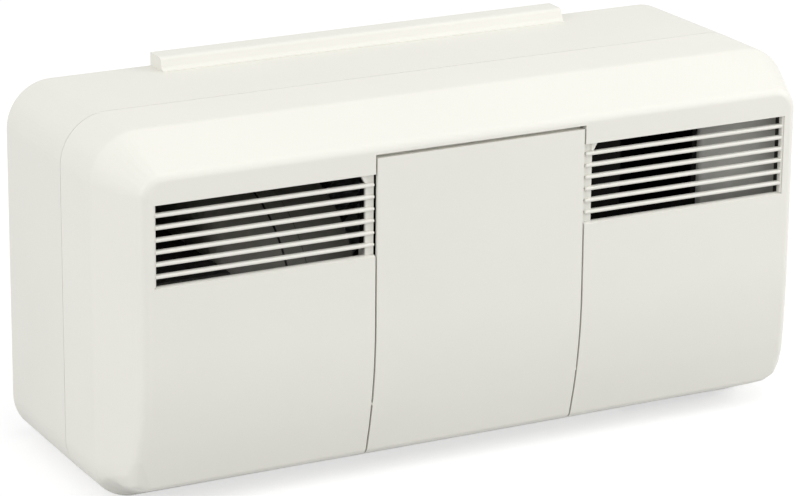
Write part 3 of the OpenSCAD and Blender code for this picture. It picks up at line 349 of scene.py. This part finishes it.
# Nodes that have a finish of their own in place of their slot's
OWN = {
    "supply_scroll_inlet_half": drum_plastic("drum_left", DRUM, DRUM_JOINT_AND_SHADE_LINES),
    "supply_scroll_motor_half": drum_plastic("drum_right", DRUM, DRUM_JOINT_AND_SHADE_LINES),
    "rear_casing": plastic("rear_white", shade(WHITE, 0.982), 0.44, vary=0.012, Specular_IOR_Level=0.42),
    "shutter_plate": plate_painted_light("plate_grey_painted_light", PLATE_LEFT, PLATE_PAINTED_LIGHT_RIGHT, PLATE_PAINTED_LIGHT_ENDS, PLATE_PAINTED_SHADOW_RIM),
}

for node, slot in SLOT_OF.items():
    finish = NODES[node].data.materials
    finish.clear()
    finish.append(OWN.get(node, MATS[slot]))

# Meshes

# Points nearer than this are one point, in a mesh made here and in a CAD node's mesh
WELD_MADE, WELD_CAD = 2e-6, 1e-5
# Faces smaller than this, where a grid's points meet, are left out
NO_AREA = 1e-14


def corners_of(node):
    """The CAD node's own corner points as an array."""
    return np.array([v.co for v in NODES[node].data.vertices], float)


def welded(node):
    """The CAD node's own shell as a bmesh, with its shared corners joined."""
    bm = bmesh.new()
    bm.from_mesh(NODES[node].data)
    bmesh.ops.remove_doubles(bm, verts=bm.verts, dist=WELD_CAD)
    return bm


def mesh_of(name, bm):
    """A mesh from the bmesh, with its faces turned outwards."""
    bmesh.ops.recalc_face_normals(bm, faces=bm.faces)
    mesh = bpy.data.meshes.new(name)
    bm.to_mesh(mesh)
    bm.free()
    return mesh


def mesh_from(name, grids):
    """One mesh from grids of points: each is its rows, and whether rows and columns close to a ring."""
    bm = bmesh.new()
    for rows, rows_close, columns_close in grids:
        made = [[bm.verts.new(point) for point in row] for row in rows]
        for j in range(len(made) - (0 if rows_close else 1)):
            below, above = made[j], made[(j + 1) % len(made)]
            for i in range(len(below) - (0 if columns_close else 1)):
                k = (i + 1) % len(below)
                bm.faces.new((below[i], below[k], above[k], above[i]))
    bmesh.ops.remove_doubles(bm, verts=bm.verts, dist=WELD_MADE)
    flat = [face for face in bm.faces if face.calc_area() < NO_AREA]
    bmesh.ops.delete(bm, geom=flat, context="FACES_ONLY")
    return mesh_of(name, bm)


def stand_in(name, mesh, node, mat):
    """Links a piece that replaces a CAD node and rides as that node does."""
    for face in mesh.polygons:
        face.use_smooth = True
    mesh.materials.append(MATS[mat])
    obj = bpy.data.objects.new(name, mesh)
    bpy.context.scene.collection.objects.link(obj)
    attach(obj, BODY_OF[node])
    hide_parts(node)
    return obj


def smooth_by_angle(obj, degrees):
    """Shades a piece smooth, apart from the edges sharper than this angle."""
    limit = math.radians(degrees)
    bm = bmesh.new()
    bm.from_mesh(obj.data)
    for edge in bm.edges:
        edge.smooth = len(edge.link_faces) != 2 or edge.calc_face_angle() < limit
    bm.to_mesh(obj.data)
    bm.free()


# Soft pieces

# Scale of the lumps in a pad's faces
LUMP_SCALE = 140


def pushed_out(value, power):
    """A value from -1 to 1 moved towards its end: a low power makes a round section squarer."""
    return math.copysign(abs(value) ** power, value)


def pad_grids(low, high, axes, cells, power, crown, lumps, seed):
    """The two skins of a pad in the box from low to high along its axes: round rims and crowned faces."""
    middle, half = (low + high) / 2, (high - low) / 2
    spread = [np.sin(np.linspace(-math.pi / 2, math.pi / 2, n + 1)) for n in cells]
    grids = []
    for side in (1, -1):
        rows = []
        for v in spread[1]:
            row = []
            for u in spread[0]:
                rim = (max(0, 1 - abs(u) ** power) * max(0, 1 - abs(v) ** power)) ** (1 / power)
                swell = 1 - crown * (u * u + v * v) / 2
                place = middle + half * np.array((u, v, 0.0))
                lump = noise.noise(Vector(place * LUMP_SCALE) + Vector((seed, side, 0)))
                place[2] += side * half[2] * rim * (swell - lumps * (0.5 + 0.5 * lump))
                row.append(axes @ place)
            rows.append(row)
        grids.append((rows, False, False))
    return grids


def windows_along(values):
    """Start and end of each window, from the corner values along one axis."""
    ends = np.unique(np.round(values, decimals=6))
    return zip(ends[0::2], ends[1::2])


def filter_mat(name, node, angle, seed):
    """Fleece in the three windows of a filter frame, pinched at the bars and full between them."""
    turn = math.radians(angle)
    out = np.array((math.cos(turn), 0, math.sin(turn)))
    across = np.array((-math.sin(turn), 0, math.cos(turn)))
    axes = np.array((across, (0, 1, 0), out)).T
    points = corners_of(node) @ axes
    low, high = points.min(0), points.max(0)
    grids = []
    for start, end in windows_along(points[:, 1]):
        low[1], high[1] = start, end
        grids += pad_grids(low, high, axes, cells=(44, 30), power=3, crown=0.16, lumps=0.16, seed=seed)
    return stand_in(name, mesh_from(name, grids), node, "filter_fabric")


def foam_block(name, node, cells, crown):
    """A cut foam block with its thickness along Y."""
    axes = np.eye(3)[[0, 2, 1]].T
    points = corners_of(node) @ axes
    grids = pad_grids(points.min(0), points.max(0), axes, cells, power=9, crown=crown, lumps=0.03, seed=3.0)
    return stand_in(name, mesh_from(name, grids), node, "black_foam")


def foam_rings(name, node):
    """Foam rings on the duct collars, squeezed between casing and wall to a nearly square section."""
    turns, around = 96, 28
    power_wide, power_deep = 0.3, 0.22
    points = corners_of(node)
    grids = []
    for side in (-1, 1):
        ring = points[points[:, 0] * side > 0]
        low, high = ring.min(0), ring.max(0)
        x, z = (low[0] + high[0]) / 2, (low[2] + high[2]) / 2
        reach = np.hypot(ring[:, 0] - x, ring[:, 2] - z)
        radius, half_wide = (reach.max() + reach.min()) / 2, (reach.max() - reach.min()) / 2
        middle, half_deep = (low[1] + high[1]) / 2, (high[1] - low[1]) / 2
        rows = []
        for turn in np.linspace(0, 2 * math.pi, turns, endpoint=False):
            row = []
            for angle in np.linspace(0, 2 * math.pi, around, endpoint=False):
                out = radius + half_wide * pushed_out(math.cos(angle), power_wide)
                y = middle + half_deep * pushed_out(math.sin(angle), power_deep)
                row.append((x + out * math.cos(turn), y, z + out * math.sin(turn)))
            rows.append(row)
        grids.append((rows, True, True))
    return stand_in(name, mesh_from(name, grids), node, "black_foam")


def foam_sheet(name, node, soft):
    """A foam sheet cut to its CAD solid's outline, with its cut edges rounded off."""
    flat_turn, cut_turn = math.radians(3), math.radians(40)
    bm = welded(node)
    bmesh.ops.dissolve_limit(bm, angle_limit=flat_turn, verts=bm.verts, edges=bm.edges)
    cut = [edge for edge in bm.edges if len(edge.link_faces) == 2 and edge.calc_face_angle() > cut_turn]
    bmesh.ops.bevel(bm, geom=cut, offset=soft, segments=3, profile=0.5, affect="EDGES", clamp_overlap=True)
    obj = stand_in(name, mesh_of(name, bm), node, "black_foam")
    smooth_by_angle(obj, degrees=30.0)
    return obj


def pull_strap(name, node):
    """Woven band over the front cap, bowed in the middle, ribbed along its length, with sealed ends."""
    half_thick, rise, bow = 0.0008, 0.006, 0.024
    inset, seal, seal_wide, seal_thick = 0.0002, 0.0012, 0.96, 0.1
    steps, around, ribs, rib_height = 121, 40, 20, 0.06
    power_wide, power_thick = 0.2, 0.5
    low, high = corners_of(node).min(0), corners_of(node).max(0)
    half_wide, z = (high[2] - low[2]) / 2, (high[2] + low[2]) / 2
    rows = []
    for x in np.linspace(low[0] + inset, high[0] - inset, steps):
        bowed = rise * math.cos(math.pi / 2 * x / bow) if abs(x) < bow else 0.0
        slope = -rise * math.pi / 2 / bow * math.sin(math.pi / 2 * x / bow) if abs(x) < bow else 0.0
        facing = np.array((slope, 1.0)) / math.hypot(slope, 1)
        full = min(1.0, (high[0] - abs(x)) / seal)
        wide = half_wide * (seal_wide + (1 - seal_wide) * full)
        thick = half_thick * math.sqrt(seal_thick + (1 - seal_thick) * full)
        row = []
        for angle in np.linspace(0, 2 * math.pi, around, endpoint=False):
            rib = 1 + rib_height * math.cos(angle * ribs)
            out = thick * rib * pushed_out(math.sin(angle), power_thick)
            y = high[1] - half_thick - bowed - facing[1] * out
            row.append((x - facing[0] * out, y, z + wide * pushed_out(math.cos(angle), power_wide)))
        rows.append(row)
    ends = [([row, [tuple(np.mean(row, 0))] * len(row)], False, True) for row in (rows[0], rows[-1])]
    return stand_in(name, mesh_from(name, [(rows, False, True), *ends]), node, "strap_fabric")


filter_mat("room_filter_fleece", "room_filter_mat", angle=135, seed=1.0)
filter_mat("outdoor_filter_fleece", "outdoor_filter_mat", angle=225, seed=7.0)
pull_strap("pull_strap", "core_strap")
foam_block("cover_foam_pad", "cover_pad", cells=(48, 28), crown=0.1)
foam_block("blower_foam_strip", "scroll_seal", cells=(60, 14), crown=0.05)
foam_rings("wall_foam_rings", "spigot_seals")
foam_sheet("intake_well_foam", "intake_well_lid", soft=0.0009)
foam_sheet("partition_foam", "right_partition", soft=0.0009)
foam_sheet("intake_liner_foam", "intake_liner", soft=0.0014)
foam_sheet("outlet_liner_foam", "outlet_liner", soft=0.0014)

# Housing front; a depth is the distance from the wall plane

UNDERSIDE, FRONT, HALF_W = CAD_BOX[0][2], -CAD_BOX[0][1], CAD_BOX[1][0]
# The CAD shell's lower chamfer: where it starts and ends, and its rise
CHAMFER_AT, CHAMFER_END, CHAMFER_RISE = 0.169, 0.197, 0.61
# How the CAD shell's half width falls with depth, and the radius of its lower corners
SIDE_FALL, CORNER_RADIUS, RADIUS_AT, RADIUS_FALL = 0.42, 0.0385, 0.172, 0.38
# The gentler chamfer made of it, and the depths where the shell is cut so that it can bend
LOW_AT, LOW_RISE = 0.156, 0.45
LOW_CUTS = (0.156, 0.160, 0.164, 0.168, 0.172, 0.178, 0.184, 0.190, 0.196)
# The lift of the chamfer fades out between these heights over it
FADE_START, FADE_END = 0.004, 0.026
# The lower corners' further lift grows outwards, grows with depth and then goes again
CORNER_LIFT, LIFT_OUTWARD = 0.004, (0.262, 0.300)
LIFT_GROWS, LIFT_GOES = (0.157, 0.176), (0.176, 0.197)
# A round corner has the power 2, and this much is added over these depths
ROUND_POWER, ADDED_POWER, POWER_GROWS = 2, 0.9, (0.174, 0.195)
# The lower front edge of the louvre openings: its height, how far out it ends, and how far it drops
OPENING_LOW, OPENING_END, LIP_DROP = 0.03932, 0.281, 0.0011
# How near a point lies to count as on an edge, and as on a cut
ON_EDGE, ON_CUT = 1e-4, 1e-6


def ease(value, start, end):
    """A smooth step from 0 at start to 1 at end."""
    share = min(1.0, max(0.0, (value - start) / (end - start)))
    return share * share * (3 - 2 * share)


def lifted(x, depth, z):
    """Height of a point of the shell once the lower chamfer starts further back and rises more gently."""
    old = UNDERSIDE + max(0.0, CHAMFER_RISE * (depth - CHAMFER_AT))
    new = UNDERSIDE + max(0.0, LOW_RISE * (depth - LOW_AT))
    near = 1 - ease(z, old + FADE_START, old + FADE_END)
    outward = ease(abs(x), *LIFT_OUTWARD)
    corner = CORNER_LIFT * outward * ease(depth, *LIFT_GROWS) * (1 - ease(depth, *LIFT_GOES))
    return z + near * (max(0.0, new - old) + corner)


def squared(x, depth, z):
    """Tightens the two lower corners of the face towards the front."""
    at = min(depth, CHAMFER_END)
    radius = CORNER_RADIUS - RADIUS_FALL * (at - RADIUS_AT)
    side = abs(x) - (HALF_W - SIDE_FALL * (at - CHAMFER_AT) - radius)
    down = UNDERSIDE + CHAMFER_RISE * (at - CHAMFER_AT) + radius - z
    power = ROUND_POWER + ADDED_POWER * ease(depth, *POWER_GROWS)
    if side <= 0 or down <= 0 or power == ROUND_POWER:
        return x, z
    reach = math.hypot(side, down)
    grow = ((side / reach) ** power + (down / reach) ** power) ** (-1 / power) - 1
    return x + math.copysign(side * grow, x), z - down * grow


def on_lip(point):
    """Whether a point lies on the lower front edge of a louvre opening."""
    at_front = abs(-point.y - FRONT) < ON_EDGE
    return at_front and abs(point.z - OPENING_LOW) < ON_EDGE and abs(point.x) < OPENING_END


def softened(name, node):
    """The CAD node's own shell with the gentler lower chamfer and smooth rounded edges."""
    bm = welded(node)
    for depth in LOW_CUTS:
        whole = bm.verts[:] + bm.edges[:] + bm.faces[:]
        bmesh.ops.bisect_plane(bm, geom=whole, plane_co=(0, -depth, 0), plane_no=(0, 1, 0), dist=ON_CUT)
    for vert in bm.verts:
        if on_lip(vert.co):
            vert.co.z -= LIP_DROP
        vert.co.x, vert.co.z = squared(vert.co.x, -vert.co.y, vert.co.z)
        vert.co.z = lifted(vert.co.x, -vert.co.y, vert.co.z)
    obj = stand_in(name, mesh_of(name, bm), node, SLOT_OF[node])
    smooth_by_angle(obj, degrees=24.0)
    even = obj.modifiers.new("even_shading", "WEIGHTED_NORMAL")
    even.keep_sharp = True
    return obj


softened("bezel_shell", "front_bezel")
softened("cover_shell", "maintenance_cover")
softened("finger_tab", "shutter_knob")

# Studio

FLOOR_GAP, FLOOR_REACH, FLOOR_GLOW = 0.0005, 14.0, 0.64
FLOOR_Z = UNDERSIDE - FLOOR_GAP
WORLD_STRENGTH = 0.7
LAMP_AIM = Vector((0, -0.1, 0))


def add_world():
    """Even white light from all round."""
    world = bpy.data.worlds.new("studio")
    bpy.context.scene.world = world
    world.use_nodes = True
    back = world.node_tree.nodes["Background"]
    back.inputs["Color"].default_value = (1.0, 1.0, 1.0, 1)
    back.inputs["Strength"].default_value = WORLD_STRENGTH


def add_lamp(name, place, size, power):
    """A soft oblong lamp, turned towards the object."""
    data = bpy.data.lights.new(name, "AREA")
    data.shape = "RECTANGLE"
    data.size, data.size_y = size
    data.energy = power
    light = bpy.data.objects.new(name, data)
    bpy.context.scene.collection.objects.link(light)
    light.location = place
    light.rotation_euler = (Vector(place) - LAMP_AIM).to_track_quat("Z", "Y").to_euler()


def floor_material():
    """White floor: a matt sheet that also glows a little where the camera or a reflection sees it."""
    make = Maker("floor_white")
    cloud = make.noise(scale=3, detail=2)
    make.done(make.ramp(cloud, grey(0.6), grey(0.62)), make.span(make.noise(scale=8), 0.8, 0.9))
    seen = make.nodes.new("ShaderNodeBsdfDiffuse")
    make.links.new(make.ramp(cloud, grey(0.42), grey(0.44)), seen.inputs["Color"])
    glow = make.nodes.new("ShaderNodeEmission")
    glow.inputs["Strength"].default_value = FLOOR_GLOW
    both = make.nodes.new("ShaderNodeAddShader")
    make.links.new(seen.outputs[0], both.inputs[0])
    make.links.new(glow.outputs[0], both.inputs[1])
    path = make.nodes.new("ShaderNodeLightPath")
    rays = path.outputs["Is Camera Ray"]
    for other in ("Is Glossy Ray", "Is Transmission Ray"):
        rays = make.calculate("MAXIMUM", rays, path.outputs[other])
    pick = make.nodes.new("ShaderNodeMixShader")
    make.links.new(rays, pick.inputs[0])
    make.links.new(make.shader.outputs[0], pick.inputs[1])
    make.links.new(both.outputs[0], pick.inputs[2])
    make.links.new(pick.outputs[0], make.nodes["Material Output"].inputs["Surface"])
    return make.mat


def add_floor():
    """A wide level sheet just under the object."""
    mesh = bpy.data.meshes.new("floor")
    signs = ((-1, -1), (1, -1), (1, 1), (-1, 1))
    corners = [(x * FLOOR_REACH, y * FLOOR_REACH, FLOOR_Z) for x, y in signs]
    mesh.from_pydata(corners, [], [(0, 1, 2, 3)])
    obj = bpy.data.objects.new("floor", mesh)
    bpy.context.scene.collection.objects.link(obj)
    mesh.materials.append(floor_material())


add_world()
add_floor()
add_lamp("key", place=(2.0, -1.2, 1.1), size=(1.3, 1.2), power=22.5)
add_lamp("top", place=(0.3, -0.8, 3.4), size=(3.4, 2.6), power=25)
add_lamp("left", place=(-3.0, -1.35, 1.6), size=(1.8, 1.8), power=37.5)
